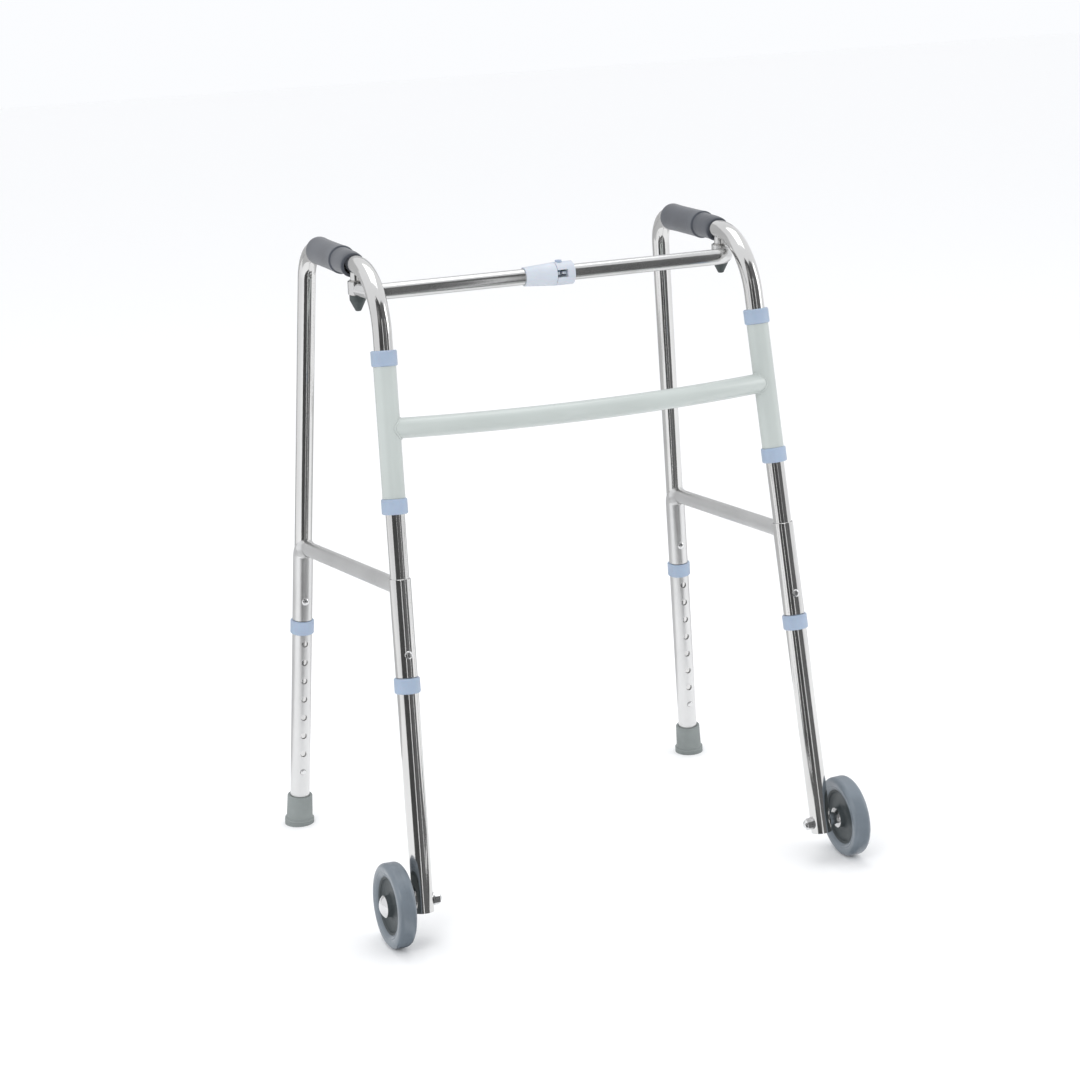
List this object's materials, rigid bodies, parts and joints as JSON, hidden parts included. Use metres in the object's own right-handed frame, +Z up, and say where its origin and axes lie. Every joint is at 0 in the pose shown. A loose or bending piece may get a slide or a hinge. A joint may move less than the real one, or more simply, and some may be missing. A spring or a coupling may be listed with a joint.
{
  "type": "folding wheeled walking frame",
  "caption": "Folding aluminium walking frame with two bent side frames, front wheels, rubber rear feet, foam grips, a bowed crossbar and a latched upper bar.",
  "frame": {"origin": "on the floor under the middle of the frame, halfway between the front of the wheels and the back of the rear feet", "axes": "+Z up, +X to the user's left, +Y towards the user, who stands between the sides and faces -Y"},
  "size_m": [0.6318, 0.4954, 0.7841],
  "materials": {
    "polished_tube": "bright polished anodised aluminium tube",
    "satin_tube": "satin anodised aluminium tube",
    "hinge_paint": "glossy pale grey-green paint",
    "blue_plastic": "pale blue moulded plastic",
    "latch_plastic": "off-white moulded plastic",
    "dark_plastic": "dark grey-green moulded plastic",
    "foam_grip": "dark charcoal closed-cell foam",
    "grey_rubber": "mid grey rubber",
    "grey_tyre": "blue-grey moulded tread",
    "wheel_plastic": "dark grey moulded plastic",
    "bright_metal": "bright plated steel",
    "plain_steel": "zinc plated steel"
  },
  "bodies": {
    "front_frame": {"crossbar": "hinge_paint", "left_hinge_sleeve": "hinge_paint", "right_hinge_sleeve": "hinge_paint"},
    "left_side": {"left_side_tube": "polished_tube", "left_brace": "polished_tube", "left_leg_sleeves": "polished_tube", "left_sleeve_rivets": "bright_metal", "left_grip": "foam_grip", "left_bar_bracket": "polished_tube", "left_pivot_stud": "plain_steel", "left_pivot_washers": "plain_steel", "left_cap_nut": "dark_plastic", "left_button_springs": "plain_steel", "left_hinge_collars": "blue_plastic"},
    "left_front_snap": {"left_front_button": "bright_metal"},
    "left_rear_snap": {"left_rear_button": "bright_metal"},
    "left_front_extension": {"left_front_leg": "polished_tube", "left_front_collar": "blue_plastic", "left_axle_bolt": "bright_metal", "left_axle_nut": "bright_metal", "left_axle_spacer": "wheel_plastic"},
    "left_rear_extension": {"left_rear_leg": "satin_tube", "left_rear_collar": "blue_plastic", "left_rear_foot": "grey_rubber", "left_foot_washer": "plain_steel"},
    "left_wheel": {"left_tyre": "grey_tyre", "left_wheel_core": "wheel_plastic", "left_wheel_bush": "plain_steel"},
    "right_side": {"right_side_tube": "polished_tube", "right_brace": "polished_tube", "right_leg_sleeves": "polished_tube", "right_sleeve_rivets": "bright_metal", "right_grip": "foam_grip", "right_bar_bracket": "polished_tube", "right_pivot_stud": "plain_steel", "right_pivot_washers": "plain_steel", "right_cap_nut": "dark_plastic", "right_button_springs": "plain_steel", "right_hinge_collars": "blue_plastic"},
    "right_front_snap": {"right_front_button": "bright_metal"},
    "right_rear_snap": {"right_rear_button": "bright_metal"},
    "right_front_extension": {"right_front_leg": "polished_tube", "right_front_collar": "blue_plastic", "right_axle_bolt": "bright_metal", "right_axle_nut": "bright_metal", "right_axle_spacer": "wheel_plastic"},
    "right_rear_extension": {"right_rear_leg": "satin_tube", "right_rear_collar": "blue_plastic", "right_rear_foot": "grey_rubber", "right_foot_washer": "plain_steel"},
    "right_wheel": {"right_tyre": "grey_tyre", "right_wheel_core": "wheel_plastic", "right_wheel_bush": "plain_steel"},
    "left_bar_half": {"left_bar": "satin_tube", "latch_collar": "latch_plastic", "latch_spring": "plain_steel"},
    "right_bar_half": {"right_bar": "satin_tube", "latch_housing": "latch_plastic"},
    "latch_release": {"latch_button": "blue_plastic"}
  },
  "joints": [
    {"name": "left_fold", "type": "hinge", "parent": "front_frame", "child": "left_side", "pos_m": [0.24161, -0.10648, 0.58805], "axis": [-0.0389, 0.1654, 0.9855], "range_deg": [0, 90]},
    {"name": "left_bar_swing", "type": "hinge", "parent": "left_side", "child": "left_bar_half", "pos_m": [0.23642, -0.00149, 0.741], "axis": [0, 0, -1], "range_deg": [0, 90]},
    {"name": "left_front_height", "type": "slide", "parent": "left_side", "child": "left_front_extension", "axis": [0.0389, -0.1654, -0.9855], "range_m": [0, 0.1778], "deforming": ["left_front_button"]},
    {"name": "left_rear_height", "type": "slide", "parent": "left_side", "child": "left_rear_extension", "axis": [0.0609, 0.0605, -0.9963], "range_m": [0, 0.1778], "deforming": ["left_rear_button"]},
    {"name": "left_front_snap_press", "type": "slide", "parent": "left_side", "child": "left_front_snap", "axis": [-0.0247, -0.9861, 0.1645], "range_m": [0, 0.0036], "stiffness_N_per_m": 1500, "springref_m": -0.003, "deforming": ["left_button_springs"]},
    {"name": "left_rear_snap_press", "type": "slide", "parent": "left_side", "child": "left_rear_snap", "axis": [0.0153, 0.998, 0.0616], "range_m": [0, 0.0036], "stiffness_N_per_m": 1500, "springref_m": -0.003, "deforming": ["left_button_springs"]},
    {"name": "left_wheel_spin", "type": "hinge", "parent": "left_front_extension", "child": "left_wheel", "pos_m": [0.29746, -0.19762, 0.05017], "axis": [0.9989, -0.0179, 0.0424], "continuous": true},
    {"name": "right_fold", "type": "hinge", "parent": "front_frame", "child": "right_side", "pos_m": [-0.24161, -0.10648, 0.58805], "axis": [-0.0389, -0.1654, -0.9855], "range_deg": [0, 65]},
    {"name": "right_bar_swing", "type": "hinge", "parent": "right_side", "child": "right_bar_half", "pos_m": [-0.23642, -0.00149, 0.741], "axis": [0, 0, 1], "range_deg": [0, 90]},
    {"name": "right_front_height", "type": "slide", "parent": "right_side", "child": "right_front_extension", "axis": [-0.0389, -0.1654, -0.9855], "range_m": [0, 0.1778], "deforming": ["right_front_button"]},
    {"name": "right_rear_height", "type": "slide", "parent": "right_side", "child": "right_rear_extension", "axis": [-0.0609, 0.0605, -0.9963], "range_m": [0, 0.1778], "deforming": ["right_rear_button"]},
    {"name": "right_front_snap_press", "type": "slide", "parent": "right_side", "child": "right_front_snap", "axis": [0.0247, -0.9861, 0.1645], "range_m": [0, 0.0036], "stiffness_N_per_m": 1500, "springref_m": -0.003, "deforming": ["right_button_springs"]},
    {"name": "right_rear_snap_press", "type": "slide", "parent": "right_side", "child": "right_rear_snap", "axis": [-0.0153, 0.998, 0.0616], "range_m": [0, 0.0036], "stiffness_N_per_m": 1500, "springref_m": -0.003, "deforming": ["right_button_springs"]},
    {"name": "right_wheel_spin", "type": "hinge", "parent": "right_front_extension", "child": "right_wheel", "pos_m": [-0.29746, -0.19762, 0.05017], "axis": [0.9989, 0.0179, -0.0424], "continuous": true},
    {"name": "latch_press", "type": "slide", "parent": "left_bar_half", "child": "latch_release", "axis": [0, 0, -1], "range_m": [0, 0.0032], "stiffness_N_per_m": 600, "springref_m": -0.003, "deforming": ["latch_spring"]}
  ]
}
